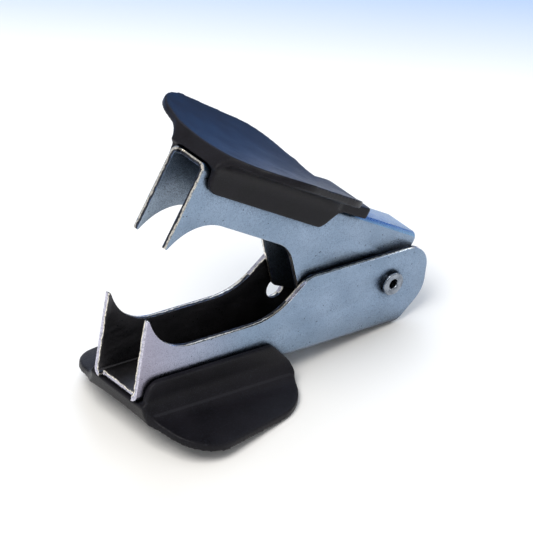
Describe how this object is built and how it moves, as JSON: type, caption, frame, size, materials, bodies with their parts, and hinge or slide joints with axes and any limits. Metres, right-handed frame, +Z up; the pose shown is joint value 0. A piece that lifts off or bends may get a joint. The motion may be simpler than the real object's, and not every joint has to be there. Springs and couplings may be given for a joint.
{
  "type": "staple remover",
  "caption": "Hand staple remover: fanged steel channel jaws that pivot on a hollow rivet and spring open, each with a flared, dished black plastic thumb pad",
  "frame": {"origin": "centre of the bounding box's bottom face, on the surface the remover stands on", "axes": "+Z up, the jaws open towards -Y and pivot near +Y, +X runs across the jaws along the pivot"},
  "size_m": [0.034, 0.0604, 0.0485],
  "materials": {
    "nickel_plated_steel": "satin nickel plate with bright burnished cut edges",
    "black_plastic": "satin black moulding with a fine grain",
    "rivet_steel": "bright rolled steel",
    "spring_steel": "dark drawn wire"
  },
  "bodies": {
    "lower": {"lower_jaw": "nickel_plated_steel", "lower_grip": "black_plastic", "pivot_rivet": "rivet_steel", "torsion_spring": "spring_steel"},
    "upper": {"upper_jaw": "nickel_plated_steel", "upper_grip": "black_plastic"}
  },
  "joints": [
    {"name": "jaw_hinge", "type": "hinge", "parent": "lower", "child": "upper", "pos_m": [0, 0.02242, 0.00879], "axis": [1, 0, 0], "range_deg": [0, 23], "stiffness_Nm_per_rad": 0.075, "springref_deg": -91.67, "deforming": ["torsion_spring"]}
  ]
}
